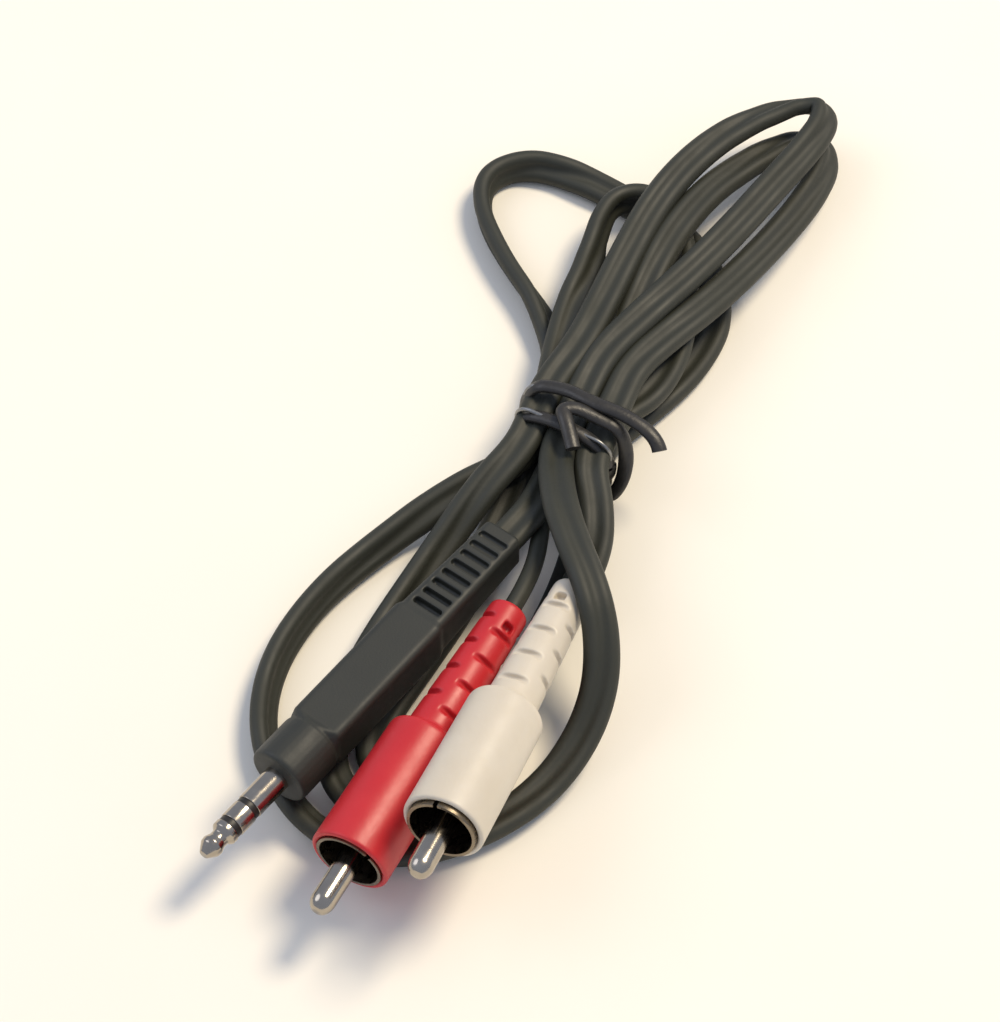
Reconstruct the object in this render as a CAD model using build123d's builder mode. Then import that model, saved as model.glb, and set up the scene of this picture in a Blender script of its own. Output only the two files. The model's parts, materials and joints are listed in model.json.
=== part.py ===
"""Stereo mini-jack to two phono plugs lead, coiled as a loose hank and held by a twist tie.

Millimetres, +Z up. The lead lies on Z = 0 with the plugs towards -X and the far loops towards +X.
"""
from build123d import *
import math
import os

os.makedirs("parts", exist_ok=True)

# --- cord -------------------------------------------------------------------------------------
CORE_D = 2.4                # one insulated core of the figure-8 twin cord, and each single lead
TWIN_D = 3.0                # round stand-in for the twin cord
TURN_SHARE = 0.45           # share of the shorter run that a bend takes
DRAWN_FROM = (-7.1, -0.1)   # where the routes' own zero lies, so the box is centred on the origin
TIE_AT = (11.5, -4.5)       # middle of the bundle under the tie
TIE_TURN = 8                # degrees that the bundle's axis is turned from +X
COLUMN = 4.8                # strands side by side under the tie
ROW = 3.05                  # strands above each other under the tie
THROAT = 6.0                # straight length each side of the tie's middle
JACK_LEAD_IN = 4.8          # straight length out of the jack plug's relief
LEAD_IN = 3.0               # straight length out of each phono plug's relief
SPLIT_AT = (21.5, -9.4, 1.5)
SPLIT_HEADING = 162         # degrees, the way the twin cord runs where its cores part
SPLIT_RUN = 4.0

# --- twist tie --------------------------------------------------------------------------------
TIE_D = 1.5
TIE_WIRE_D = 0.6
TIE_GAP = 0.05              # tie wire to floor and to the strands it binds

# --- 3.5 mm jack plug -------------------------------------------------------------------------
JACK_FACE = (-55.7, 1.74, 9.1)
JACK_YAW = -9.6             # degrees, the way the cord end points from +X
JACK_PITCH = 0.0
JACK_D = 3.5
JACK_REACH = 14.0           # tip to the front of the collar
TIP_LENGTH = 4.6
RING_LENGTH = 2.5
SPACER = 0.8                # visible width of each insulating ring
SPACER_RECESS = 0.1
JACK_WALL = 0.25            # each concentric tube of the contact stack
JACK_ROD_D = 1.2
TIP_END_D = 1.1
TIP_HEAD_D = 3.2
TIP_NECK_D = 2.3
TIP_CONE = 1.3
TIP_HEAD_LENGTH = 0.5
TIP_NECK_AT = 2.9
TIP_SHOULDER_AT = 3.8
FLANGE_D = 5.6
FLANGE_INSET = 0.6
FLANGE_THICK = 1.2
TAG_THICK = 0.3
TAG_WIDTH = 1.2
TAG_LIP = 0.4               # tag ring beyond the tube it is riveted on
SLEEVE_TAIL = 3.0           # sleeve behind the collar's face
RING_TAIL = 6.2
ROD_TAIL = 8.0
TAG_END = 11.0
CORE_STRIP = 2.0            # insulation that shows beyond the cord's end inside a plug
CONDUCTOR_D = 0.5
CORE_INSULATION_D = 1.0
SCREEN_D = 0.6
MOULD_D = 5.4
MOULD_END = 14.0
COLLAR_D = 8.4
COLLAR_LENGTH = 7.0
BODY_WIDTH = 7.4
BODY_HEIGHT = 6.9
BODY_EDGE = 1.0
BODY_LENGTH = 21.5
RELIEF_LENGTH = 17.8
RELIEF_END_WIDTH = 5.6
RELIEF_END_HEIGHT = 5.4
RELIEF_EDGE = 0.8
SLOT_COUNT = 8
SLOT_WIDTH = 0.9
SLOT_PITCH = 1.95
SLOT_SPAN = 4.2
SLOT_WALL = 0.45            # left between a slot and the cord's bore
SLOT_START = 1.6            # shoulder of the relief to the first slot

# --- phono plugs ------------------------------------------------------------------------------
PHONO_PIN_D = 3.2
PHONO_PIN_REACH = 7.9
PHONO_PIN_NOSE = 1.3
PHONO_PIN_TAIL_D = 2.8     # behind the shoulder that seats on the web
PHONO_PIN_TAIL = 14.5
SHELL_OUTER_D = 9.0
SHELL_WALL = 0.4
SHELL_DEPTH = 9.5
SHELL_NECK_D = 5.2
SHELL_NECK_END = 13.0
SHELL_SLIT = 0.6
SHELL_SLIT_DEPTH = 6.0
WEB_THICK = 2.0             # insulating web at the bottom of the shell
PHONO_CONDUCTOR_D = 0.7
PHONO_INSULATION_D = 1.6
PHONO_SCREEN_D = 0.7
PHONO_TAG_WIDTH = 1.6
PHONO_TAG_START = 11.0
PHONO_TAG_END = 16.0
SOLDER_CUP = 2.0
PHONO_MOULD_D = 8.0
PHONO_MOULD_END = 17.0
BOOT_D = 10.6
BOOT_REAR_D = 10.2
BOOT_LENGTH = 19.6
BOOT_EDGE = 0.5
BOOT_SHOULDER = 1.0
BOOT_RELIEF_D = 6.8
BOOT_RELIEF_END_D = 5.2
BOOT_RELIEF_LENGTH = 22.3
BOOT_SLOT_COUNT = 4
BOOT_SLOT_WIDTH = 0.9
BOOT_SLOT_PITCH = 4.6
BOOT_SLOT_START = 3.0
BOOT_SLOT_WALL = 0.5        # left between a slot and the lead's bore

# each phono plug: front of its boot, yaw, nose-up pitch, roll, how far its shell stands proud
PHONOS = {
    "red": ((-61.93, -12.06, 9.1), 0.0, -0.4, -40, 0.15),
    "white": ((-56.13, -22.04, 16.4), 4.84, 6.81, 12, 0.6),
}


# --- frames -----------------------------------------------------------------------------------
def placed(x, y, z):
    """A drawn point in the model's frame."""
    return (x + DRAWN_FROM[0], y + DRAWN_FROM[1], z)


def plug_plane(face, yaw, pitch, roll=0.0):
    """Plane at a plug's front face: local X points out of the plug's nose, local Y up."""
    nose = Vector(-1, 0, 0).rotate(Axis.Y, pitch).rotate(Axis.Z, yaw)
    level = Vector(0, 1, 0).rotate(Axis.Z, yaw)
    side = level.rotate(Axis((0, 0, 0), tuple(nose)), roll)
    return Plane(origin=placed(*face), x_dir=nose, z_dir=side)


def across(plane, reach):
    """Plane square to a plug's axis, `reach` in front of its face: local X across, local Y up."""
    return Plane(origin=plane.from_local_coords((reach, 0, 0)), x_dir=plane.z_dir * -1,
                 z_dir=plane.x_dir)


def plug_axis(plane):
    """The axis of a plug, pointing out of its nose."""
    return Axis(tuple(plane.origin), tuple(plane.x_dir))


def turned(plane, *points):
    """A turned piece from its (reach, radius) outline, closed along the plug's axis."""
    with BuildPart() as piece:
        with BuildSketch(plane):
            with BuildLine():
                Polyline(*points, close=True)
            make_face()
        revolve(axis=plug_axis(plane))
    return piece


def rod(plane, front, back, diameter, across_at=(0, 0), bore=0.0):
    """A straight wire or sleeve along a plug, off its axis by `across_at`."""
    with BuildPart() as piece:
        with BuildSketch(across(plane, back)):
            with Locations(across_at):
                Circle(diameter / 2)
                if bore:
                    Circle(bore / 2, mode=Mode.SUBTRACT)
        extrude(amount=front - back)
    return piece


def solder_tag(plane, reach, bore_d, tab_end, angle):
    """A riveted ring with a tab that runs back along the plug, `angle` degrees round from up."""
    ring_d = bore_d + 2 * TAG_LIP
    tab_mid = ring_d / 2 - TAG_THICK / 2
    turn = math.radians(angle)
    with BuildPart() as piece:
        with BuildSketch(across(plane, reach - TAG_THICK)):
            Circle(ring_d / 2)
            Circle(bore_d / 2, mode=Mode.SUBTRACT)
        extrude(amount=TAG_THICK)
        with BuildSketch(across(plane, reach - TAG_THICK)):
            with Locations((tab_mid * math.sin(turn), tab_mid * math.cos(turn))):
                Rectangle(TAG_WIDTH, TAG_THICK, rotation=-angle)
        extrude(amount=tab_end - reach + TAG_THICK)
    return piece


written = {}


def keep(name, piece):
    """Label a finished piece and write it as its own node."""
    piece.part.label = name
    export_step(piece.part, f"parts/{name}.step")
    written[name] = piece.part


# --- 3.5 mm jack plug -------------------------------------------------------------------------
jack = plug_plane(JACK_FACE, JACK_YAW, JACK_PITCH)
tip_back = JACK_REACH - TIP_LENGTH
ring_front = tip_back - SPACER
ring_back = ring_front - RING_LENGTH
sleeve_front = ring_back - SPACER
stack = [JACK_ROD_D + 2 * JACK_WALL * step for step in range(4)]

jack_tip = turned(
    jack,
    (JACK_REACH, 0),
    (JACK_REACH, TIP_END_D / 2),
    (JACK_REACH - TIP_CONE, TIP_HEAD_D / 2),
    (JACK_REACH - TIP_CONE - TIP_HEAD_LENGTH, TIP_HEAD_D / 2),
    (JACK_REACH - TIP_NECK_AT, TIP_NECK_D / 2),
    (JACK_REACH - TIP_SHOULDER_AT, JACK_D / 2),
    (tip_back, JACK_D / 2),
    (tip_back, JACK_ROD_D / 2),
    (-ROD_TAIL - TAG_THICK, JACK_ROD_D / 2),
    (-ROD_TAIL - TAG_THICK, 0),
)
keep("jack_tip", jack_tip)

jack_tip_insulator = turned(
    jack,
    (tip_back, stack[0] / 2),
    (tip_back, JACK_D / 2 - SPACER_RECESS),
    (ring_front, JACK_D / 2 - SPACER_RECESS),
    (ring_front, stack[1] / 2),
    (-ROD_TAIL, stack[1] / 2),
    (-ROD_TAIL, stack[0] / 2),
)
keep("jack_tip_insulator", jack_tip_insulator)

jack_ring = turned(
    jack,
    (ring_front, stack[1] / 2),
    (ring_front, JACK_D / 2),
    (ring_back, JACK_D / 2),
    (ring_back, stack[2] / 2),
    (-RING_TAIL - TAG_THICK, stack[2] / 2),
    (-RING_TAIL - TAG_THICK, stack[1] / 2),
)
keep("jack_ring", jack_ring)

jack_ring_insulator = turned(
    jack,
    (ring_back, stack[2] / 2),
    (ring_back, JACK_D / 2 - SPACER_RECESS),
    (sleeve_front, JACK_D / 2 - SPACER_RECESS),
    (sleeve_front, stack[3] / 2),
    (-RING_TAIL, stack[3] / 2),
    (-RING_TAIL, stack[2] / 2),
)
keep("jack_ring_insulator", jack_ring_insulator)

flange_back = -FLANGE_INSET - FLANGE_THICK
jack_sleeve = turned(
    jack,
    (sleeve_front, stack[3] / 2),
    (sleeve_front, JACK_D / 2),
    (-FLANGE_INSET, JACK_D / 2),
    (-FLANGE_INSET, FLANGE_D / 2),
    (flange_back, FLANGE_D / 2),
    (flange_back, JACK_D / 2),
    (-SLEEVE_TAIL - TAG_THICK, JACK_D / 2),
    (-SLEEVE_TAIL - TAG_THICK, stack[3] / 2),
)
keep("jack_sleeve", jack_sleeve)

jack_tip_tag = solder_tag(jack, -ROD_TAIL, stack[0], -TAG_END, 0)
keep("jack_tip_tag", jack_tip_tag)
jack_ring_tag = solder_tag(jack, -RING_TAIL, stack[2], -TAG_END, 180)
keep("jack_ring_tag", jack_ring_tag)
jack_sleeve_tag = solder_tag(jack, -SLEEVE_TAIL, JACK_D, -TAG_END, 90)
keep("jack_sleeve_tag", jack_sleeve_tag)

tip_wire_at = (0, stack[0] / 2 + TAG_LIP + CONDUCTOR_D / 2)
ring_wire_at = (0, -stack[2] / 2 - TAG_LIP - CONDUCTOR_D / 2)
screen_at = (JACK_D / 2 + TAG_LIP - TAG_THICK - SCREEN_D / 2, 0)
wire_front = -TAG_END + CORE_STRIP
strip_at = -MOULD_END + CORE_STRIP
jack_left_conductor = rod(jack, wire_front, -MOULD_END, CONDUCTOR_D, tip_wire_at)
keep("jack_left_conductor", jack_left_conductor)
jack_right_conductor = rod(jack, wire_front, -MOULD_END, CONDUCTOR_D, ring_wire_at)
keep("jack_right_conductor", jack_right_conductor)
jack_left_insulation = rod(jack, strip_at, -MOULD_END, CORE_INSULATION_D, tip_wire_at, CONDUCTOR_D)
keep("jack_left_insulation", jack_left_insulation)
jack_right_insulation = rod(jack, strip_at, -MOULD_END, CORE_INSULATION_D, ring_wire_at, CONDUCTOR_D)
keep("jack_right_insulation", jack_right_insulation)
jack_screen_tail = rod(jack, wire_front, -MOULD_END, SCREEN_D, screen_at)
keep("jack_screen_tail", jack_screen_tail)

jack_inside = (jack_tip, jack_tip_insulator, jack_ring, jack_ring_insulator, jack_sleeve,
               jack_tip_tag, jack_ring_tag, jack_sleeve_tag, jack_left_conductor,
               jack_right_conductor, jack_left_insulation, jack_right_insulation,
               jack_screen_tail)
with BuildPart() as jack_inner_mould:
    with BuildSketch(across(jack, -MOULD_END)):
        Circle(MOULD_D / 2)
    extrude(amount=MOULD_END + flange_back)
    for inner in jack_inside:
        add(inner.part, mode=Mode.SUBTRACT)
keep("jack_inner_mould", jack_inner_mould)

body_back = -COLLAR_LENGTH - BODY_LENGTH
relief_back = body_back - RELIEF_LENGTH
with BuildPart() as jack_grip:
    with BuildSketch(across(jack, body_back)):
        RectangleRounded(BODY_WIDTH, BODY_HEIGHT, BODY_EDGE)
    extrude(amount=BODY_LENGTH)
    with BuildSketch(across(jack, -COLLAR_LENGTH)):
        Circle(COLLAR_D / 2)
    extrude(amount=COLLAR_LENGTH)
    with BuildSketch(across(jack, body_back)):
        RectangleRounded(BODY_WIDTH, BODY_HEIGHT, BODY_EDGE)
    with BuildSketch(across(jack, relief_back)):
        RectangleRounded(RELIEF_END_WIDTH, RELIEF_END_HEIGHT, RELIEF_EDGE)
    loft()
    for number in range(SLOT_COUNT):
        slot_at = body_back - SLOT_START - number * SLOT_PITCH
        for side in (1, -1):
            with BuildSketch(across(jack, slot_at - SLOT_WIDTH / 2)):
                with Locations((0, side * (TWIN_D / 2 + SLOT_WALL + BODY_HEIGHT / 2))):
                    Rectangle(SLOT_SPAN, BODY_HEIGHT)
            extrude(amount=SLOT_WIDTH, mode=Mode.SUBTRACT)
    with BuildSketch(across(jack, relief_back)):
        Circle(TWIN_D / 2)
    extrude(amount=-relief_back, mode=Mode.SUBTRACT)
    with BuildSketch(across(jack, -MOULD_END)):
        Circle(MOULD_D / 2)
    extrude(amount=MOULD_END - FLANGE_INSET, mode=Mode.SUBTRACT)
    with BuildSketch(across(jack, flange_back)):
        Circle(FLANGE_D / 2)
    extrude(amount=FLANGE_THICK, mode=Mode.SUBTRACT)
    with BuildSketch(across(jack, -FLANGE_INSET)):
        Circle(JACK_D / 2)
    extrude(amount=FLANGE_INSET, mode=Mode.SUBTRACT)
keep("jack_grip", jack_grip)

jack_cord_end = rod(jack, -MOULD_END, relief_back, TWIN_D)
keep("jack_cord_end", jack_cord_end)


# --- phono plugs ------------------------------------------------------------------------------
def phono_boot(plane):
    """The soft coloured moulding: grip, shoulder and slotted strain relief in one piece."""
    shoulder = -BOOT_LENGTH
    end = shoulder - BOOT_RELIEF_LENGTH
    bore_r = CORE_D / 2
    with BuildPart() as boot:
        with BuildSketch(plane):
            with BuildLine():
                Polyline(
                    (0, SHELL_OUTER_D / 2), (0, BOOT_D / 2), (shoulder, BOOT_REAR_D / 2),
                    (shoulder, BOOT_RELIEF_D / 2), (end, BOOT_RELIEF_END_D / 2), (end, bore_r),
                    (-PHONO_MOULD_END, bore_r), (-PHONO_MOULD_END, PHONO_MOULD_D / 2),
                    (-SHELL_DEPTH - SHELL_WALL, PHONO_MOULD_D / 2),
                    (-SHELL_DEPTH - SHELL_WALL, SHELL_OUTER_D / 2), close=True)
            make_face()
        revolve(axis=plug_axis(plane))
        grip_rims = boot.edges().filter_by(GeomType.CIRCLE)
        fillet([rim for rim in grip_rims if abs(rim.radius - BOOT_D / 2) < 0.01], BOOT_EDGE)
        grip_rims = boot.edges().filter_by(GeomType.CIRCLE)
        fillet([rim for rim in grip_rims if abs(rim.radius - BOOT_REAR_D / 2) < 0.01],
               BOOT_SHOULDER)
        for number in range(2 * BOOT_SLOT_COUNT):
            slot_at = shoulder - BOOT_SLOT_START - number * BOOT_SLOT_PITCH / 2
            for side in (1, -1):
                offset = side * (bore_r + BOOT_SLOT_WALL + BOOT_RELIEF_D / 2)
                centre = (0, offset) if number % 2 == 0 else (offset, 0)
                with BuildSketch(across(plane, slot_at - BOOT_SLOT_WIDTH / 2)):
                    with Locations(centre):
                        Rectangle(BOOT_RELIEF_D, BOOT_RELIEF_D)
                extrude(amount=BOOT_SLOT_WIDTH, mode=Mode.SUBTRACT)
    return boot


lead_exit = {}              # where each lead leaves its plug, and the end of its first run
for colour, (face, yaw, pitch, roll, proud) in PHONOS.items():
    plug = plug_plane(face, yaw, pitch, roll)
    neck_bore_d = SHELL_NECK_D - 2 * SHELL_WALL
    cup_bore_d = SHELL_OUTER_D - 2 * SHELL_WALL
    nose_flat_r = PHONO_PIN_D / 2 - PHONO_PIN_NOSE
    web_front = -SHELL_DEPTH + WEB_THICK

    with BuildPart() as pin:
        with BuildSketch(plug):
            with BuildLine():
                Polyline((PHONO_PIN_REACH, nose_flat_r), (PHONO_PIN_REACH, 0),
                         (-PHONO_PIN_TAIL + SOLDER_CUP, 0),
                         (-PHONO_PIN_TAIL + SOLDER_CUP, PHONO_CONDUCTOR_D / 2),
                         (-PHONO_PIN_TAIL, PHONO_CONDUCTOR_D / 2),
                         (-PHONO_PIN_TAIL, PHONO_PIN_TAIL_D / 2),
                         (web_front, PHONO_PIN_TAIL_D / 2),
                         (web_front, PHONO_PIN_D / 2),
                         (PHONO_PIN_REACH - PHONO_PIN_NOSE, PHONO_PIN_D / 2))
                RadiusArc((PHONO_PIN_REACH - PHONO_PIN_NOSE, PHONO_PIN_D / 2),
                          (PHONO_PIN_REACH, nose_flat_r), PHONO_PIN_NOSE)
            make_face()
        revolve(axis=plug_axis(plug))
    keep(f"{colour}_pin", pin)

    shell_blank = turned(
        plug,
        (proud, cup_bore_d / 2),
        (proud, SHELL_OUTER_D / 2),
        (-SHELL_DEPTH - SHELL_WALL, SHELL_OUTER_D / 2),
        (-SHELL_DEPTH - SHELL_WALL, SHELL_NECK_D / 2),
        (-SHELL_NECK_END, SHELL_NECK_D / 2),
        (-SHELL_NECK_END, neck_bore_d / 2),
        (-SHELL_DEPTH, neck_bore_d / 2),
        (-SHELL_DEPTH, cup_bore_d / 2),
    )
    with BuildPart() as shell:
        add(shell_blank.part)
        with BuildSketch(across(plug, proud - SHELL_SLIT_DEPTH)):
            with Locations((0, SHELL_OUTER_D / 2)):
                Rectangle(SHELL_SLIT, SHELL_OUTER_D / 2)
        extrude(amount=SHELL_SLIT_DEPTH, mode=Mode.SUBTRACT)
    keep(f"{colour}_shell", shell)

    insulator = turned(
        plug,
        (web_front, PHONO_PIN_TAIL_D / 2),
        (web_front, cup_bore_d / 2),
        (-SHELL_DEPTH, cup_bore_d / 2),
        (-SHELL_DEPTH, neck_bore_d / 2),
        (-SHELL_NECK_END, neck_bore_d / 2),
        (-SHELL_NECK_END, PHONO_PIN_TAIL_D / 2),
    )
    keep(f"{colour}_insulator", insulator)

    tag_at = -SHELL_NECK_D / 2 - TAG_THICK / 2
    with BuildPart() as ground_tag:
        with BuildSketch(across(plug, -PHONO_TAG_END)):
            with Locations((0, tag_at)):
                Rectangle(PHONO_TAG_WIDTH, TAG_THICK)
        extrude(amount=PHONO_TAG_END - PHONO_TAG_START)
    keep(f"{colour}_ground_tag", ground_tag)

    conductor = rod(plug, -PHONO_PIN_TAIL + SOLDER_CUP, -PHONO_MOULD_END, PHONO_CONDUCTOR_D)
    keep(f"{colour}_conductor", conductor)
    insulation = rod(plug, -PHONO_MOULD_END + CORE_STRIP, -PHONO_MOULD_END, PHONO_INSULATION_D,
                     bore=PHONO_CONDUCTOR_D)
    keep(f"{colour}_core_insulation", insulation)
    screen = rod(plug, -PHONO_TAG_END + CORE_STRIP, -PHONO_MOULD_END, PHONO_SCREEN_D,
                 (0, tag_at - TAG_THICK / 2 - PHONO_SCREEN_D / 2))
    keep(f"{colour}_screen_tail", screen)

    with BuildPart() as inner_mould:
        with BuildSketch(across(plug, -PHONO_MOULD_END)):
            Circle(PHONO_MOULD_D / 2)
        extrude(amount=PHONO_MOULD_END - SHELL_DEPTH - SHELL_WALL)
        for inner in (shell, insulator, pin, ground_tag, conductor, insulation, screen):
            add(inner.part, mode=Mode.SUBTRACT)
    keep(f"{colour}_inner_mould", inner_mould)

    keep(f"{colour}_boot", phono_boot(plug))
    lead_back = -BOOT_LENGTH - BOOT_RELIEF_LENGTH
    keep(f"{colour}_lead_end", rod(plug, -PHONO_MOULD_END, lead_back, CORE_D))
    lead_exit[colour] = [tuple(plug.from_local_coords((lead_back - step, 0, 0)))
                         for step in (0, LEAD_IN)]


# --- cord routes ------------------------------------------------------------------------------
along = Vector(1, 0, 0).rotate(Axis.Z, TIE_TURN)
sideways = Vector(0, 1, 0).rotate(Axis.Z, TIE_TURN)
BOTTOM, MIDDLE, TOP = (TIE_D + 2 * TIE_GAP + TWIN_D / 2 + level * ROW for level in range(3))
LEFT, CENTRE, RIGHT = 1, 0, -1


def seat(column, height, step=0.0):
    """A strand's place under the tie, `step` along the bundle."""
    place = Vector(placed(*TIE_AT, height)) + sideways * (column * COLUMN) + along * step
    return tuple(place)


def drawn(*points):
    """Drawn points in the model's frame."""
    return [placed(*point) for point in points]


def looped(start, points, end, side):
    """A loop that leaves the tie at one seat and comes back at another, on one side of it."""
    return [seat(*start), seat(*start, side * THROAT), *points, seat(*end, side * THROAT),
            seat(*end)]


def bend_radii(points, largest=math.inf):
    """The largest radius each corner's two runs allow, up to `largest`."""
    radii = []
    for before, corner, after in zip(points, points[1:], points[2:]):
        to_corner = Vector(corner) - Vector(before)
        from_corner = Vector(after) - Vector(corner)
        half_turn = math.radians(to_corner.get_angle(from_corner)) / 2
        shorter = min(to_corner.length, from_corner.length)
        radii.append(min(largest, TURN_SHARE * shorter / math.tan(half_turn)))
    return radii


def cord(name, points, diameter):
    """Sweep a round cord along straight runs joined by tangent arcs."""
    radii = bend_radii(points)
    with BuildPart() as piece:
        with BuildLine() as route:
            FilletPolyline(*points, radius=radii)
        path = route.wire()
        with BuildSketch(Plane(origin=path @ 0, z_dir=path % 0)):
            Circle(diameter / 2)
        sweep(path=path)
    keep(name, piece)
    expected = math.pi * diameter ** 2 / 4 * path.length
    print(f"{name}: length {path.length:.1f}, volume ratio {piece.part.volume / expected:.4f},"
          f" radii {[round(radius, 1) for radius in radii]}")
    return path.length


jack_exit = tuple(jack.from_local_coords((relief_back, 0, 0)))
jack_lead_in = tuple(jack.from_local_coords((relief_back - JACK_LEAD_IN, 0, 0)))
split_way = Vector(1, 0, 0).rotate(Axis.Z, SPLIT_HEADING)
split_side = Vector(0, 0, 1).cross(split_way) * (CORE_D / 2)
split = Vector(placed(*SPLIT_AT))
red_split, white_split = split - split_side, split + split_side

ROUTES = {
    "jack_tail": [jack_exit, jack_lead_in, placed(-0.6, -6.3, 7.3),
                  seat(CENTRE, MIDDLE, -THROAT), seat(CENTRE, MIDDLE)],
    "far_loop_inner": looped((CENTRE, MIDDLE), drawn(
        (25, -3.9, 6.0), (36, -2.5, 7.2), (44, -1.5, 7.8), (52, -1.2, 7.8), (60.8, -1.8, 6.8),
        (69, -3.6, 5.2), (75.3, -5.9, 4.2), (79.7, -8.6, 3.6), (80.2, -11.6, 3.4),
        (76.4, -13.8, 3.6), (69.8, -14.4, 4.0), (61, -14.0, 4.8), (51, -13.0, 6.2),
        (41, -11.6, 7.8), (32, -9.4, 8.8), (24.4, -7.7, 9.2)), (RIGHT, TOP), 1),
    "near_loop_inner": looped((RIGHT, TOP), drawn(
        (1, -14.0, 8.5), (-4, -16.5, 6.6), (-11.5, -16.9, 4.9), (-20, -17.4, 4.7),
        (-31, -17.8, 4.6), (-41, -16.9, 3.3), (-48, -13.6, 2.1), (-51.5, -7, 2.1),
        (-47.5, -0.2, 2.2), (-38, 2.8, 2.4), (-26, 3.8, 2.4), (-13, 2.8, 3.8), (-3, 1.2, 7.8)),
        (LEFT, TOP), -1),
    "far_loop_upper": looped((LEFT, TOP), drawn(
        (25, 0.4, 9.4), (35, 1.5, 9.2), (44.5, 2.6, 9.1), (53.4, 3.1, 9.2), (62.1, 2.4, 9.0),
        (70.2, 0.4, 8.6), (76.5, -2.7, 8.2), (81, -6.4, 8.2), (82.4, -9.9, 8.6),
        (79, -11.9, 9.2), (72.5, -11.7, 9.4), (64, -10.5, 9.4), (54, -9.3, 9.7),
        (43, -7.5, 10.0), (33, -5.2, 10.2), (24, -3.2, 9.8)), (CENTRE, TOP), 1),
    "near_loop_outer": looped((CENTRE, TOP), drawn(
        (-2.3, -9.8, 12.6), (-8.8, -14.8, 14.9), (-15.8, -21.8, 15.5), (-19.6, -25.2, 12.0),
        (-24, -27.3, 7.8), (-29.6, -27.8, 4.4), (-36.8, -26.8, 2.4), (-44.6, -23.8, 2.2),
        (-52.4, -18, 2.0), (-56.8, -10.3, 2.0), (-56, -1, 2.2), (-49.5, 8.2, 2.4),
        (-39, 13.6, 2.4), (-26, 14, 2.4), (-13, 10.2, 2.6), (-3, 5.2, 4.6)),
        (LEFT, MIDDLE), -1),
    "far_loop_short": looped((LEFT, MIDDLE), drawn(
        (24, 3.6, 5.8), (33, 6.2, 5.4), (41.5, 7.5, 5.2), (48.4, 9.7, 5.2), (54.2, 10.2, 5.1),
        (57.4, 5.9, 4.9), (55.0, 0.6, 4.7), (49, -3.4, 4.6), (41, -7.4, 4.9),
        (32, -10.6, 5.2), (23.6, -11, 5.8)), (RIGHT, MIDDLE), 1),
    "near_loop_under": looped((RIGHT, MIDDLE), drawn(
        (0, -12.9, 5.3), (-6, -14.2, 2.4), (-14, -15.0, 1.5), (-24, -15.4, 1.5),
        (-33.5, -15.2, 1.5), (-41, -13.2, 1.5), (-45, -9.2, 1.5), (-43.8, -4.6, 1.5),
        (-38, -2.6, 1.5), (-29, -2.9, 1.5), (-19, -3.2, 1.5), (-10, -2.4, 1.5), (-3, -1.6, 2.2)),
        (LEFT, BOTTOM), -1),
    "far_loop_side": looped((LEFT, BOTTOM), drawn(
        (24, 3.0, 2.2), (32, 9.6, 2.0), (39, 20.2, 2.4), (45.5, 27.4, 2.4), (51.5, 29.8, 2.4),
        (56.8, 26.2, 2.4), (58.4, 19.4, 2.2), (57.8, 10.5, 1.7), (56.5, 1.5, 1.5),
        (52, -6.5, 1.5), (44, -11.6, 1.5), (37.4, -12.6, 1.5)), (RIGHT, BOTTOM), 1)[:-2]
        + [tuple(split - split_way * 2 * SPLIT_RUN), tuple(split)],
    "red_lead": [*lead_exit["red"], *drawn((-11.5, -11.3, 9.0), (-6, -9.2, 7.2), (-1, -6.9, 4.5)),
                 seat(CENTRE, BOTTOM, -THROAT), seat(CENTRE, BOTTOM, 1.0),
                 tuple(red_split + split_way * SPLIT_RUN), tuple(red_split)],
    "white_lead": [*lead_exit["white"], *drawn((-7.2, -15.6, 9.3), (-3.4, -11.6, 7.0),
                                               (0.2, -9.1, 3.9)),
                   seat(RIGHT, BOTTOM, -THROAT), seat(RIGHT, BOTTOM, 1.0),
                   tuple(white_split + split_way * SPLIT_RUN), tuple(white_split)],
}
twin_length = 0
for name, points in ROUTES.items():
    single = name.endswith("lead")
    length = cord(name, points, CORE_D if single else TWIN_D)
    twin_length += 0 if single else length
print(f"twin cord {twin_length:.0f} mm")

# --- twist tie --------------------------------------------------------------------------------
# Points as (step along the bundle, sideways, height), from the long free end to the short one.
half_width = COLUMN + TWIN_D / 2 + TIE_GAP + TIE_D / 2
over = TOP + TWIN_D / 2 + TIE_GAP + TIE_D / 2
under = TIE_D / 2 + TIE_GAP
TIE_POINTS = [
    (-1.9, -13.4, over - 0.5), (-0.6, -12.6, over + 0.5), (0.9, -7.9, over + 1.5),
    (1.4, -2.5, over + 1.6), (3.0, 1.6, over + 0.9), (2.6, half_width, over),
    (0.8, half_width, under), (-3.0, -half_width, under), (-3.8, -half_width, over),
    (-1.2, half_width, over), (-1.6, half_width, under), (-5.0, -half_width, under),
    (-3.6, -half_width - 1.8, under + 3.0), (-1.6, -half_width - 1.8, over - 3.6),
    (-0.6, -half_width - 0.4, over + 0.2), (-0.3, -4.4, over + 0.7), (-0.1, -1.0, over + 1.5),
    (-1.1, 0.8, over + 1.7), (-3.0, -0.6, over + 1.8), (-6.4, -2.7, over + 0.8),
]


def tie_sweep(name, outer_d, inner_d):
    """The tie's wire or its coating, along the same wrapped path."""
    points = [tuple(Vector(TIE_AT[0] + DRAWN_FROM[0], TIE_AT[1] + DRAWN_FROM[1], height)
                    + along * step + sideways * side) for step, side, height in TIE_POINTS]
    with BuildPart() as piece:
        with BuildLine() as route:
            FilletPolyline(*points, radius=bend_radii(points, half_width - COLUMN))
        path = route.wire()
        with BuildSketch(Plane(origin=path @ 0, z_dir=path % 0)):
            Circle(outer_d / 2)
            if inner_d:
                Circle(inner_d / 2, mode=Mode.SUBTRACT)
        sweep(path=path)
    keep(name, piece)


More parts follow.
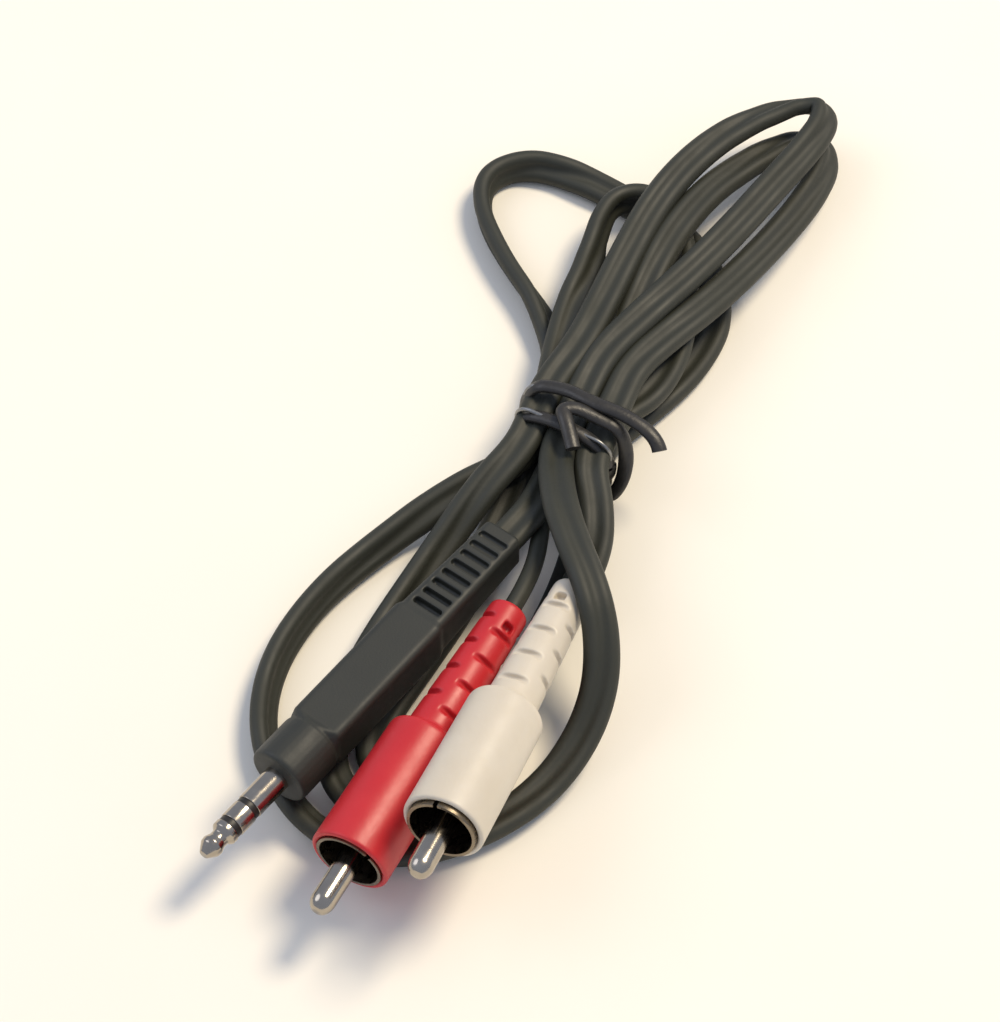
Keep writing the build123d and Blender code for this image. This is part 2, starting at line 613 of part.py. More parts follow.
tie_sweep("tie_coating", TIE_D, TIE_WIRE_D)
tie_sweep("tie_wire", TIE_WIRE_D, 0)

box = Compound(children=list(written.values())).bounding_box()
print(f"{len(written)} nodes, box {tuple(box.min)} to {tuple(box.max)}")
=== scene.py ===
"""Looks for a stereo mini-jack to phono cable, lying as a loose hank held by a wire twist tie.

Sizes are in millimetres and become metres as each piece is placed round the CAD frame.
"""
import json
import math

import bmesh
import bpy
from mathutils import Matrix, Vector


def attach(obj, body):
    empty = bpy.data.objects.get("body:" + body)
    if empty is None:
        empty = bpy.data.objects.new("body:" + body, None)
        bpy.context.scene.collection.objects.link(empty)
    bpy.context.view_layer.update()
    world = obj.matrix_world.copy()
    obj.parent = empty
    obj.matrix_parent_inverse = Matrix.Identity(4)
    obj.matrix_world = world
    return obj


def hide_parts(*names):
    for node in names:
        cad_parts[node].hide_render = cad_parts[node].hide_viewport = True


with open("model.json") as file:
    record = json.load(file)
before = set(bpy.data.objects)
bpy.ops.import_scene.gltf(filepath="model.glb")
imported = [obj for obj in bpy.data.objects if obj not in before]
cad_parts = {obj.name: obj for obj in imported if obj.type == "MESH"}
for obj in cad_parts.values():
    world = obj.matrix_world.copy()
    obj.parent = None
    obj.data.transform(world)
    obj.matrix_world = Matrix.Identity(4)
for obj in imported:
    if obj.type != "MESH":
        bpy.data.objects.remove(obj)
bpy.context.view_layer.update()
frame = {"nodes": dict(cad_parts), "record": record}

bl_info = {
    "name": "Stereo Audio Cable",
    "version": (1, 0, 0),
    "blender": (4, 5, 0),
    "location": "View3D > Sidebar > Cable",
    "description": "Twin cord, mini-jack and phono plugs in a tied hank",
    "category": "Add Mesh",
}

MM = 0.001
BODY = "root"
MOUNTS = {mount["name"]: mount for mount in frame["record"]["mounts"]}
PVC_IOR = 1.53
COLOUR_DETAIL = 3.0         # octaves of noise in a mottled colour
FINE_DETAIL = 4.0           # octaves of noise in a roughness or a grain
TURNED_EDGE = 50            # degrees above which a turned piece's edge stays sharp
SWEPT_EDGE = 70             # the same for a cord or the tie


# --- sizes and colours a user would change ------------------------------------------------------
class CableSizes(bpy.types.PropertyGroup):
    core: bpy.props.FloatProperty(
        name="Core", description="Diameter of one insulated core, mm", default=2.4, min=1.0)
    web: bpy.props.FloatProperty(
        name="Web", description="Thickness of the web that joins the twin cores, mm", default=1.7)
    tie_width: bpy.props.FloatProperty(
        name="Tie width", description="Width of the twist tie's coating, mm", default=2.1)
    tie_thickness: bpy.props.FloatProperty(
        name="Tie thickness", description="Thickness of the twist tie's coating, mm", default=1.3)
    jack_slots: bpy.props.IntProperty(
        name="Jack slots", description="Slots along the top and the underside of the jack's relief",
        default=8, min=1)
    boot_slots: bpy.props.IntProperty(
        name="Boot slots", description="Slots along each side of a phono boot's strain relief",
        default=4, min=1)
    grain: bpy.props.FloatProperty(
        name="Moulding grain", description="Voxel size of the soft mouldings, mm", default=0.17)


class CableColours(bpy.types.PropertyGroup):
    cord: bpy.props.StringProperty(
        name="Cord", description="PVC of the cord, sRGB hex", default="25271E")
    grip: bpy.props.StringProperty(
        name="Jack grip", description="PVC of the jack's moulding, sRGB hex", default="22241F")
    left_boot: bpy.props.StringProperty(
        name="White boot", description="PVC of the left channel's boot, sRGB hex", default="D9D0C0")
    right_boot: bpy.props.StringProperty(
        name="Red boot", description="PVC of the right channel's boot, sRGB hex", default="C9262C")
    nickel: bpy.props.StringProperty(
        name="Nickel", description="Plate on the contacts, sRGB hex", default="BDB5A8")
    floor: bpy.props.StringProperty(
        name="Floor", description="Paper under the cable, sRGB hex", default="FBF6EA")


def sizes():
    return bpy.context.scene.cable_sizes


def colours():
    return bpy.context.scene.cable_colours


# --- materials ----------------------------------------------------------------------------------
def linear(hex_colour):
    """A linear RGBA colour from an sRGB hex value."""
    channels = [int(hex_colour[at:at + 2], 16) / 255 for at in (0, 2, 4)]
    turned = [c / 12.92 if c <= 0.04045 else ((c + 0.055) / 1.055) ** 2.4 for c in channels]
    return (*turned, 1.0)


def add_node(tree, kind, settings=None, inputs=None):
    """A node with its settings, and its inputs set to values or linked to other sockets."""
    node = tree.nodes.new(kind)
    for name, value in (settings or {}).items():
        setattr(node, name, value)
    for key, value in (inputs or {}).items():
        if isinstance(value, bpy.types.NodeSocket):
            tree.links.new(value, node.inputs[key])
        else:
            node.inputs[key].default_value = value
    return node


def new_material(name):
    material = bpy.data.materials.new(name)
    material.use_nodes = True
    tree = material.node_tree
    shader = tree.nodes["Principled BSDF"]
    place = add_node(tree, "ShaderNodeTexCoord").outputs["Object"]
    return material, tree, shader, place


def per_metre(size_mm):
    """Noise scale whose features are about `size_mm` across."""
    return 1 / (size_mm * MM)


def mottled(tree, place, low, high, size_mm):
    """A colour that wanders between two hex values over patches of a given size."""
    noise = add_node(tree, "ShaderNodeTexNoise", inputs={
        "Vector": place, "Scale": per_metre(size_mm), "Detail": COLOUR_DETAIL})
    mix = add_node(tree, "ShaderNodeMix", {"data_type": "RGBA"}, {"Factor": noise.outputs["Fac"]})
    mix.inputs["A"].default_value = linear(low)
    mix.inputs["B"].default_value = linear(high)
    return mix.outputs["Result"]


def varied(tree, place, low, high, size_mm):
    """A roughness that wanders between two values over patches of a given size."""
    noise = add_node(tree, "ShaderNodeTexNoise", inputs={
        "Vector": place, "Scale": per_metre(size_mm), "Detail": FINE_DETAIL})
    return add_node(tree, "ShaderNodeMapRange", inputs={
        "Value": noise.outputs["Fac"], "From Min": 0.3, "From Max": 0.7,
        "To Min": low, "To Max": high}).outputs["Result"]


def grained(tree, place, size_mm, height_mm):
    """A bump whose grain is `size_mm` across and `height_mm` deep."""
    noise = add_node(tree, "ShaderNodeTexNoise", inputs={
        "Vector": place, "Scale": per_metre(size_mm), "Detail": FINE_DETAIL})
    return add_node(tree, "ShaderNodeBump", inputs={
        "Height": noise.outputs["Fac"], "Distance": height_mm * MM,
        "Strength": 1.0}).outputs["Normal"]


def extruded_cord_pvc():
    """Soft black PVC drawn through a die: satin, with a faint orange peel and paler scuffs."""
    material, tree, shader, place = new_material("extruded black PVC")
    base = colours().cord
    tree.links.new(mottled(tree, place, base, "303127", 9.0), shader.inputs["Base Color"])
    tree.links.new(varied(tree, place, 0.54, 0.66, 5.0), shader.inputs["Roughness"])
    tree.links.new(grained(tree, place, 0.55, 0.02), shader.inputs["Normal"])
    shader.inputs["IOR"].default_value = PVC_IOR
    return material


def moulded_grip_pvc():
    """Black PVC moulded in a spark-eroded tool: a finer, duller grain than the cord."""
    material, tree, shader, place = new_material("moulded black PVC")
    tree.links.new(mottled(tree, place, colours().grip, "2B2D27", 6.0), shader.inputs["Base Color"])
    tree.links.new(varied(tree, place, 0.5, 0.62, 3.0), shader.inputs["Roughness"])
    tree.links.new(grained(tree, place, 0.3, 0.018), shader.inputs["Normal"])
    shader.inputs["IOR"].default_value = PVC_IOR
    return material


def moulded_red_pvc():
    """Red PVC from a polished tool: semi-gloss, a little light goes into it."""
    material, tree, shader, place = new_material("moulded red PVC")
    tree.links.new(mottled(tree, place, colours().right_boot, "BE2128", 7.0),
                   shader.inputs["Base Color"])
    tree.links.new(varied(tree, place, 0.36, 0.46, 4.0), shader.inputs["Roughness"])
    tree.links.new(grained(tree, place, 0.7, 0.016), shader.inputs["Normal"])
    shader.inputs["IOR"].default_value = PVC_IOR
    shader.inputs["Subsurface Weight"].default_value = 0.12
    shader.inputs["Subsurface Radius"].default_value = (1.2 * MM, 0.3 * MM, 0.2 * MM)
    shader.inputs["Subsurface Scale"].default_value = 1.0
    return material


def moulded_white_pvc():
    """White PVC, slightly creamy, with the faint handling dirt that white plugs pick up."""
    material, tree, shader, place = new_material("moulded white PVC")
    tree.links.new(mottled(tree, place, colours().left_boot, "CDC2AE", 5.0),
                   shader.inputs["Base Color"])
    tree.links.new(varied(tree, place, 0.38, 0.5, 4.0), shader.inputs["Roughness"])
    tree.links.new(grained(tree, place, 0.8, 0.02), shader.inputs["Normal"])
    shader.inputs["IOR"].default_value = PVC_IOR
    shader.inputs["Subsurface Weight"].default_value = 0.2
    shader.inputs["Subsurface Radius"].default_value = (1.0 * MM, 0.9 * MM, 0.7 * MM)
    shader.inputs["Subsurface Scale"].default_value = 1.0
    return material


def nickel_plate():
    """Bright nickel on turned brass: sharp reflections with fine lathe marks and a warm tint."""
    material, tree, shader, place = new_material("turned nickel plate")
    tree.links.new(mottled(tree, place, colours().nickel, "9A9082", 2.5),
                   shader.inputs["Base Color"])
    tree.links.new(varied(tree, place, 0.12, 0.24, 1.2), shader.inputs["Roughness"])
    tree.links.new(grained(tree, place, 0.25, 0.004), shader.inputs["Normal"])
    shader.inputs["Metallic"].default_value = 1.0
    return material


def shell_plate_painted_shade():
    """Nickel of a drawn shell, less polished than the pins; its darker, browner colour is painted
    shade from inside the shell's mouth.
    """
    material, tree, shader, place = new_material("shell nickel, painted shade")
    # painted shade: both browns are darker than nickel and stand for the shade inside the shell's
    # mouth
    tree.links.new(mottled(tree, place, "9C8F7C", "6E6353", 1.6), shader.inputs["Base Color"])
    tree.links.new(varied(tree, place, 0.22, 0.36, 1.0), shader.inputs["Roughness"])
    tree.links.new(grained(tree, place, 0.3, 0.006), shader.inputs["Normal"])
    shader.inputs["Metallic"].default_value = 1.0
    return material


def insulator_abs():
    """Black ABS of the contact spacers: dark and even, half matt."""
    material, tree, shader, place = new_material("moulded ABS spacer")
    tree.links.new(mottled(tree, place, "1A1815", "24211C", 2.0), shader.inputs["Base Color"])
    tree.links.new(grained(tree, place, 0.2, 0.01), shader.inputs["Normal"])
    shader.inputs["Roughness"].default_value = 0.42
    return material


def tie_pvc():
    """Thin black PVC over a wire, scuffed along its edges where it has been twisted."""
    material, tree, shader, place = new_material("coated tie wire")
    tree.links.new(mottled(tree, place, "1E1D1B", "35322E", 2.2), shader.inputs["Base Color"])
    tree.links.new(varied(tree, place, 0.3, 0.5, 1.5), shader.inputs["Roughness"])
    tree.links.new(grained(tree, place, 0.5, 0.04), shader.inputs["Normal"])
    shader.inputs["IOR"].default_value = 1.5
    return material


def plain_metal(name, low, high, roughness):
    """A hidden metal part's finish: tinned brass, copper strand or steel wire."""
    material, tree, shader, place = new_material(name)
    tree.links.new(mottled(tree, place, low, high, 0.8), shader.inputs["Base Color"])
    tree.links.new(grained(tree, place, 0.2, 0.004), shader.inputs["Normal"])
    shader.inputs["Metallic"].default_value = 1.0
    shader.inputs["Roughness"].default_value = roughness
    return material


def plain_plastic(name, low, high, roughness):
    """A hidden plastic part's finish: core insulation or the inner moulding."""
    material, tree, shader, place = new_material(name)
    tree.links.new(mottled(tree, place, low, high, 1.5), shader.inputs["Base Color"])
    tree.links.new(grained(tree, place, 0.3, 0.01), shader.inputs["Normal"])
    shader.inputs["Roughness"].default_value = roughness
    return material


def dress(piece, material):
    """Put one material on a piece, or on a CAD node without touching its mesh's shape."""
    if not piece.data.materials:
        piece.data.materials.append(material)
    for slot in piece.material_slots:
        slot.material = material


# --- frames and meshes --------------------------------------------------------------------------
def plug_frame(mount, middle, roll=0.0):
    """Local millimetres to the row frame: X out of the plug's nose from its face, Z up."""
    nose = Vector(MOUNTS[mount]["axis"]).normalized()
    up = Vector((0, 0, 1))
    up = (up - nose * up.dot(nose)).normalized()
    up.rotate(Matrix.Rotation(math.radians(roll), 3, nose))
    side = up.cross(nose)
    face = Vector(MOUNTS[mount]["pos_m"]) - nose * (middle * MM)
    turn = Matrix((nose * MM, side * MM, up * MM)).transposed().to_4x4()
    turn.translation = face
    return turn


def link(name, mesh):
    piece = bpy.data.objects.new(name, mesh)
    bpy.context.scene.collection.objects.link(piece)
    return piece


def finish_piece(piece, place, sharp_above=38):
    """Move a piece's mesh from local millimetres to its place, with smooth shading."""
    piece.data.transform(place)
    piece.data.shade_smooth()
    piece.data.set_sharp_from_angle(angle=math.radians(sharp_above))
    piece.data.update()
    return piece


def softened(corners, radius, steps=5):
    """A closed outline with each corner rounded, or less where its sides are short."""
    outline = []
    count = len(corners)
    for at in range(count):
        corner = Vector(corners[at])
        back = Vector(corners[at - 1]) - corner
        on = Vector(corners[(at + 1) % count]) - corner
        if corner.y <= 0 or back.length < 1e-6 or on.length < 1e-6:
            outline.append(corner)
            continue
        reach = min(radius, 0.45 * back.length, 0.45 * on.length)
        first = corner + back.normalized() * reach
        last = corner + on.normalized() * reach
        for step in range(steps + 1):
            share = step / steps
            outline.append(first * (1 - share) ** 2 + corner * 2 * share * (1 - share)
                           + last * share ** 2)
    return outline


def turned_mesh(name, outline, segments=72):
    """A turned solid from a closed (reach, radius) outline about the local X axis."""
    shape = bmesh.new()
    rings = []
    for reach, radius in outline:
        if radius <= 1e-5:
            rings.append([shape.verts.new((reach, 0, 0))])
            continue
        turns = [2 * math.pi * step / segments for step in range(segments)]
        rings.append([shape.verts.new((reach, radius * math.cos(turn), radius * math.sin(turn)))
                      for turn in turns])
    for at, ring in enumerate(rings):
        other = rings[(at + 1) % len(rings)]
        if len(ring) == 1 and len(other) == 1:
            continue
        for step in range(segments):
            after = (step + 1) % segments
            corners = [ring[step % len(ring)], ring[after % len(ring)],
                       other[after % len(other)], other[step % len(other)]]
            unique = list(dict.fromkeys(corners))
            shape.faces.new(unique)
    bmesh.ops.remove_doubles(shape, verts=shape.verts, dist=1e-5)
    bmesh.ops.recalc_face_normals(shape, faces=shape.faces)
    mesh = bpy.data.meshes.new(name)
    shape.to_mesh(mesh)
    shape.free()
    return mesh


def ring_lofted_mesh(name, rings):
    """A closed solid through rings of points, capped at both ends."""
    shape = bmesh.new()
    made = [[shape.verts.new(point) for point in ring] for ring in rings]
    for ring, other in zip(made, made[1:]):
        for at in range(len(ring)):
            after = (at + 1) % len(ring)
            shape.faces.new((ring[at], ring[after], other[after], other[at]))
    shape.faces.new(made[0])
    shape.faces.new(made[-1])
    bmesh.ops.recalc_face_normals(shape, faces=shape.faces)
    mesh = bpy.data.meshes.new(name)
    shape.to_mesh(mesh)
    shape.free()
    return mesh


def evaluated(piece):
    """The piece's mesh with its modifiers applied, as a plain mesh of its own."""
    graph = bpy.context.evaluated_depsgraph_get()
    mesh = bpy.data.meshes.new_from_object(piece.evaluated_get(graph))
    mesh.name = piece.name
    return mesh


def slot_row_tree():
    """Geometry Nodes: a row of box cutters along -X, for the slots of a strain relief."""
    tree = bpy.data.node_groups.new("slot_row", "GeometryNodeTree")
    face = tree.interface
    face.new_socket("Geometry", in_out="OUTPUT", socket_type="NodeSocketGeometry")
    face.new_socket("Count", in_out="INPUT", socket_type="NodeSocketInt")
    face.new_socket("Start", in_out="INPUT", socket_type="NodeSocketVector")
    face.new_socket("Pitch", in_out="INPUT", socket_type="NodeSocketVector")
    face.new_socket("Cutter", in_out="INPUT", socket_type="NodeSocketVector")
    face.new_socket("Material", in_out="INPUT", socket_type="NodeSocketMaterial")
    given = add_node(tree, "NodeGroupInput").outputs
    row = add_node(tree, "GeometryNodeMeshLine", {"mode": "OFFSET"}, {
        "Count": given["Count"], "Start Location": given["Start"], "Offset": given["Pitch"]})
    box = add_node(tree, "GeometryNodeMeshCube", inputs={"Size": given["Cutter"]})
    copies = add_node(tree, "GeometryNodeInstanceOnPoints", inputs={
        "Points": row.outputs["Mesh"], "Instance": box.outputs["Mesh"]})
    real = add_node(tree, "GeometryNodeRealizeInstances", inputs={
        "Geometry": copies.outputs["Instances"]})
    coated = add_node(tree, "GeometryNodeSetMaterial", inputs={
        "Geometry": real.outputs["Geometry"], "Material": given["Material"]})
    add_node(tree, "NodeGroupOutput", inputs={"Geometry": coated.outputs["Geometry"]})
    return tree


def slot_cutters(name, material, rows):
    """One mesh of cutters from rows of (count, start, pitch, cutter size)."""
    tree = bpy.data.node_groups.get("slot_row") or slot_row_tree()
    names = {item.name: item.identifier for item in tree.interface.items_tree
             if item.in_out == "INPUT"}
    shape = bmesh.new()
    for count, start, pitch, cutter in rows:
        holder = link(name, bpy.data.meshes.new(name))
        modifier = holder.modifiers.new("slots", "NODES")
        modifier.node_group = tree
        values = {"Count": count, "Start": start, "Pitch": pitch, "Cutter": cutter,
                  "Material": material}
        for key, value in values.items():
            modifier[names[key]] = value
        shape.from_mesh(evaluated(holder))
        bpy.data.objects.remove(holder)
    mesh = bpy.data.meshes.new(name)
    shape.to_mesh(mesh)
    shape.free()
    return link(name, mesh)


def moulded(piece, cutters, grain):
    """Cut the slots, then round every edge as a mould would, as one plain mesh."""
    cut = piece.modifiers.new("slots", "BOOLEAN")
    cut.operation = "DIFFERENCE"
    cut.solver = "EXACT"
    cut.object = cutters
    skin = piece.modifiers.new("skin", "REMESH")
    skin.mode = "VOXEL"
    skin.voxel_size = grain
    ease = piece.modifiers.new("ease", "SMOOTH")
    ease.factor = 0.5
    ease.iterations = 5
    mesh = evaluated(piece)
    piece.modifiers.clear()
    piece.data = mesh
    bpy.data.objects.remove(cutters)
    return piece


# --- cord routes --------------------------------------------------------------------------------
DRAWN_FROM = (-7.1, -0.1)
TIE_AT = (11.5, -4.5)
TIE_TURN = math.radians(8)
COLUMN = 4.8
THROAT = 6.0
BOTTOM, MIDDLE, TOP = 3.1, 6.15, 9.2
LEFT, CENTRE, RIGHT = 1, 0, -1
ALONG = Vector((math.cos(TIE_TURN), math.sin(TIE_TURN), 0))
SIDEWAYS = Vector((-math.sin(TIE_TURN), math.cos(TIE_TURN), 0))
SPLIT_AT = (21.5, -9.4, 1.5)
SPLIT_WAY = Vector((math.cos(math.radians(162)), math.sin(math.radians(162)), 0))
SPLIT_RUN = 4.0
CLOSEST = 0.05              # points of a path nearer than this are one point
STEEP = 0.2                 # below this, a path is too upright to have a level side
JACK_MOUNT_AT = 2.35        # the jack's mount, ahead of its grip's face
PIN_MOUNT_AT = -0.45        # a phono pin's mount, just behind its shell's mouth
JACK_END = 46.3             # jack's face to the back of its strain relief
JACK_LEAD_IN = 4.8
BOOT_END = 41.9             # phono plug's face to the back of its strain relief
LEAD_IN = 3.0


def placed(x, y, z):
    """A drawn point in the row frame, in millimetres."""
    return Vector((x + DRAWN_FROM[0], y + DRAWN_FROM[1], z))


def seat(column, height, step=0.0):
    """A strand's place under the tie, `step` along the bundle."""
    return placed(*TIE_AT, height) + SIDEWAYS * (column * COLUMN) + ALONG * step


def rolled(points):
    """Drawn (x, y, z, roll) points as (place, roll) pairs."""
    return [(placed(x, y, z), roll) for x, y, z, roll in points]


FAR_INNER = [
    (25, -3.9, 6.0, 0), (36, -2.5, 7.2, 8), (44, -1.5, 7.8, 14), (52, -1.2, 7.8, 16),
    (60.8, -1.8, 6.8, 12), (69, -3.6, 5.2, 0), (75.3, -5.9, 4.2, -20), (79.7, -8.6, 3.6, -45),
    (80.2, -11.6, 3.4, -55), (76.4, -13.8, 3.6, -40), (69.8, -14.4, 4.0, -25),
    (61, -14.0, 4.8, -20), (51, -13.0, 6.2, -18), (41, -11.6, 7.8, -15), (32, -9.4, 8.8, -8),
    (24.4, -7.7, 9.2, 0)]
NEAR_INNER = [
    (1, -14.0, 8.5, 0), (-4, -16.5, 6.6, 0), (-11.5, -16.9, 4.9, 0), (-20, -17.4, 4.7, 0),
    (-31, -17.8, 4.6, 0), (-41, -16.9, 3.3, 5), (-48, -13.6, 2.1, 12), (-51.5, -7, 2.1, 25),
    (-47.5, -0.2, 2.2, 45), (-38, 2.8, 2.4, 60), (-26, 3.8, 2.4, 60), (-13, 2.8, 3.8, 40),
    (-3, 1.2, 7.8, 15)]
FAR_UPPER = [
    (25, 0.4, 9.4, 0), (35, 1.5, 9.2, 8), (44.5, 2.6, 9.1, 14), (53.4, 3.1, 9.2, 16),
    (62.1, 2.4, 9.0, 12), (70.2, 0.4, 8.6, 0), (76.5, -2.7, 8.2, -20), (81, -6.4, 8.2, -45),
    (82.4, -9.9, 8.6, -55), (79, -11.9, 9.2, -40), (72.5, -11.7, 9.4, -25),
    (64, -10.5, 9.4, -20), (54, -9.3, 9.7, -18), (43, -7.5, 10.0, -15), (33, -5.2, 10.2, -8),
    (24, -3.2, 9.8, 0)]
NEAR_OUTER = [
    (-2.3, -9.8, 12.6, 0), (-8.8, -14.8, 14.9, -8), (-15.8, -21.8, 15.5, -12),
    (-19.6, -25.2, 12.0, -10), (-24, -27.3, 7.8, -8), (-29.6, -27.8, 4.4, -5),
    (-36.8, -26.8, 2.4, 0), (-44.6, -23.8, 2.2, 10), (-52.4, -18, 2.0, 20),
    (-56.8, -10.3, 2.0, 30), (-56, -1, 2.2, 45), (-49.5, 8.2, 2.4, 60), (-39, 13.6, 2.4, 65),
    (-26, 14, 2.4, 65), (-13, 10.2, 2.6, 55), (-3, 5.2, 4.6, 30)]
FAR_SHORT = [
    (24, 3.6, 5.8, 0), (33, 6.2, 5.4, 10), (41.5, 7.5, 5.2, 40), (48.4, 9.7, 5.2, 70),
    (54.2, 10.2, 5.1, 85), (57.4, 5.9, 4.9, 80), (55.0, 0.6, 4.7, 60), (49, -3.4, 4.6, 40),
    (41, -7.4, 4.9, 20), (32, -10.6, 5.2, 10), (23.6, -11, 5.8, 0)]
NEAR_UNDER = [
    (0, -12.9, 5.3, 0), (-6, -14.2, 2.4, 0), (-14, -15.0, 1.4, 0), (-24, -15.4, 1.3, 0),
    (-33.5, -15.2, 1.3, 0), (-41, -13.2, 1.3, 0), (-45, -9.2, 1.3, 0), (-43.8, -4.6, 1.3, 0),
    (-38, -2.6, 1.3, 0), (-29, -2.9, 1.3, 0), (-19, -3.2, 1.3, 0), (-10, -2.4, 1.3, 0),
    (-3, -1.6, 2.2, 0)]
FAR_SIDE = [
    (24, 3.0, 2.2, 0), (32, 9.6, 2.0, 40), (39, 20.2, 2.4, 70), (45.5, 27.4, 2.4, 80),
    (51.5, 29.8, 2.4, 80), (56.8, 26.2, 2.4, 75), (58.4, 19.4, 2.2, 50), (57.8, 10.5, 1.6, 10),
    (56.5, 1.5, 1.3, 0), (52, -6.5, 1.3, 0), (44, -11.6, 1.3, 0), (37.4, -12.6, 1.3, 0)]
JACK_TAIL = [(-0.6, -6.3, 7.3, 0)]
RED_LEAD = [(-11.5, -11.3, 9.0), (-6, -9.2, 7.2), (-1, -6.9, 4.5)]
WHITE_LEAD = [(-7.2, -15.6, 9.3), (-3.4, -11.6, 7.0), (0.2, -9.1, 3.9)]


def twin_route():
    """Every control point of the twin cord, from the jack to where its cores part."""
    plug = plug_frame("jack_plug", JACK_MOUNT_AT)
    out = [(plug @ Vector((-reach, 0, 0)) / MM, 0.0)
           for reach in (JACK_END, JACK_END + JACK_LEAD_IN)]
    route = out + rolled(JACK_TAIL) + [(seat(CENTRE, MIDDLE, -THROAT), 0.0)]
    loops = [((CENTRE, MIDDLE), FAR_INNER, (RIGHT, TOP), 1),
             ((RIGHT, TOP), NEAR_INNER, (LEFT, TOP), -1),
             ((LEFT, TOP), FAR_UPPER, (CENTRE, TOP), 1),
             ((CENTRE, TOP), NEAR_OUTER, (LEFT, MIDDLE), -1),
             ((LEFT, MIDDLE), FAR_SHORT, (RIGHT, MIDDLE), 1),
             ((RIGHT, MIDDLE), NEAR_UNDER, (LEFT, BOTTOM), -1)]
    for start, points, end, side in loops:
        route += [(seat(*start), 0.0), (seat(*start, side * THROAT), 0.0), *rolled(points),
                  (seat(*end, side * THROAT), 0.0)]
    split = placed(*SPLIT_AT)
    route += [(seat(LEFT, BOTTOM), 0.0), (seat(LEFT, BOTTOM, THROAT), 0.0), *rolled(FAR_SIDE),
              (split - SPLIT_WAY * 2 * SPLIT_RUN, 0.0), (split, 0.0)]
    return route


def lead_route(mount, points, seat_at, side):
    """A single lead from where the cores part, under the tie, to its phono plug."""
    plug = plug_frame(mount, PIN_MOUNT_AT)
    out = [plug @ Vector((-reach, 0, 0)) / MM for reach in (BOOT_END, BOOT_END + LEAD_IN)]
    across = Vector((0, 0, 1)).cross(SPLIT_WAY) * (sizes().core / 2 * side)
    start = placed(*SPLIT_AT) + across
    route = out + [placed(*point) for point in points]
    route += [seat(*seat_at, -THROAT), seat(*seat_at, 1.0), start + SPLIT_WAY * SPLIT_RUN, start]
    return list(reversed(route))


def spline_curve(name, points):
    """A smooth open NURBS curve, in metres, with the points as its control points."""
    curve = bpy.data.curves.new(name, "CURVE")
    curve.dimensions = "3D"
    spline = curve.splines.new("NURBS")
    spline.points.add(len(points) - 1)
    for control, point in zip(spline.points, points):
        control.co = (*(point * MM), 1.0)
    spline.order_u = 3
    spline.use_endpoint_u = True
    spline.resolution_u = 12
    return curve


def followed(points):
    """Points read along the NURBS spline of a route, in metres."""
    holder = link("route", spline_curve("route", points))
    graph = bpy.context.evaluated_depsgraph_get()
    mesh = bpy.data.meshes.new_from_object(holder.evaluated_get(graph))
    path = []
    for vertex in mesh.vertices:
        if not path or (vertex.co - path[-1]).length > CLOSEST * MM:
            path.append(vertex.co.copy())
    bpy.data.objects.remove(holder)
    return path


def swept_mesh(name, path, rolls, outline):
    """Sweep a closed (across, up) outline in millimetres along a path, never below the floor."""
    rings = []
    last = len(path) - 1
    side_before = None
    for at, point in enumerate(path):
        way = (path[min(at + 1, last)] - path[max(at - 1, 0)]).normalized()
        level = Vector((0, 0, 1)).cross(way)
        if level.length < STEEP and side_before is not None:
            level = side_before - way * side_before.dot(way)
        level.normalize()
        side_before = level
        spot = rolls_at(rolls, at / last)
        turn = Matrix.Rotation(math.radians(spot), 3, way)
        across = turn @ level
        up = way.cross(across)
        ring = [point + (across * x + up * y) * MM for x, y in outline]
        lift = Vector((0, 0, max(0.0, -min(corner.z for corner in ring))))
        rings.append([corner + lift for corner in ring])
    return ring_lofted_mesh(name, rings)


def rolls_at(rolls, share):
    """The roll at a share of the way along the control points."""
    place = share * (len(rolls) - 1)
    before = min(int(place), len(rolls) - 2)
    part = place - before
    ease = part * part * (3 - 2 * part)
    return rolls[before] * (1 - ease) + rolls[before + 1] * ease


def twin_outline(core, web, steps=13):
    """Outline of two round cores side by side, joined by a web."""
    radius = core / 2
    gap = math.asin(web / 2 / radius)
    right = [(radius + radius * math.cos(turn), radius * math.sin(turn))
             for turn in (-math.pi + gap + (2 * math.pi - 2 * gap) * step / steps
                          for step in range(steps + 1))]
    return right + [(-x, -y) for x, y in right]


def oval_outline(width, thickness, steps=14):
    return [(width / 2 * math.cos(2 * math.pi * step / steps),
             thickness / 2 * math.sin(2 * math.pi * step / steps)) for step in range(steps)]


# --- pieces -------------------------------------------------------------------------------------
TWIN_NODES = ["jack_tail", "far_loop_inner", "near_loop_inner", "far_loop_upper",
              "near_loop_outer", "far_loop_short", "near_loop_under", "far_loop_side"]


class CABLE_OT_twin_cord(bpy.types.Operator):
    """Figure-8 twin cord from the jack, through every loop of the hank, to the split"""
    bl_idname = "cable.twin_cord"
    bl_label = "Twin Cord"

    def execute(self, context):
        route = twin_route()
        path = followed([place for place, _ in route])
        outline = twin_outline(sizes().core, sizes().web)
        rolls = [roll for _, roll in route]
        cord = link("twin_cord", swept_mesh("twin_cord", path, rolls, outline))
        finish_piece(cord, Matrix.Identity(4), sharp_above=SWEPT_EDGE)
        dress(cord, extruded_cord_pvc())
        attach(cord, BODY)
        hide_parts(*TWIN_NODES)
        return {"FINISHED"}


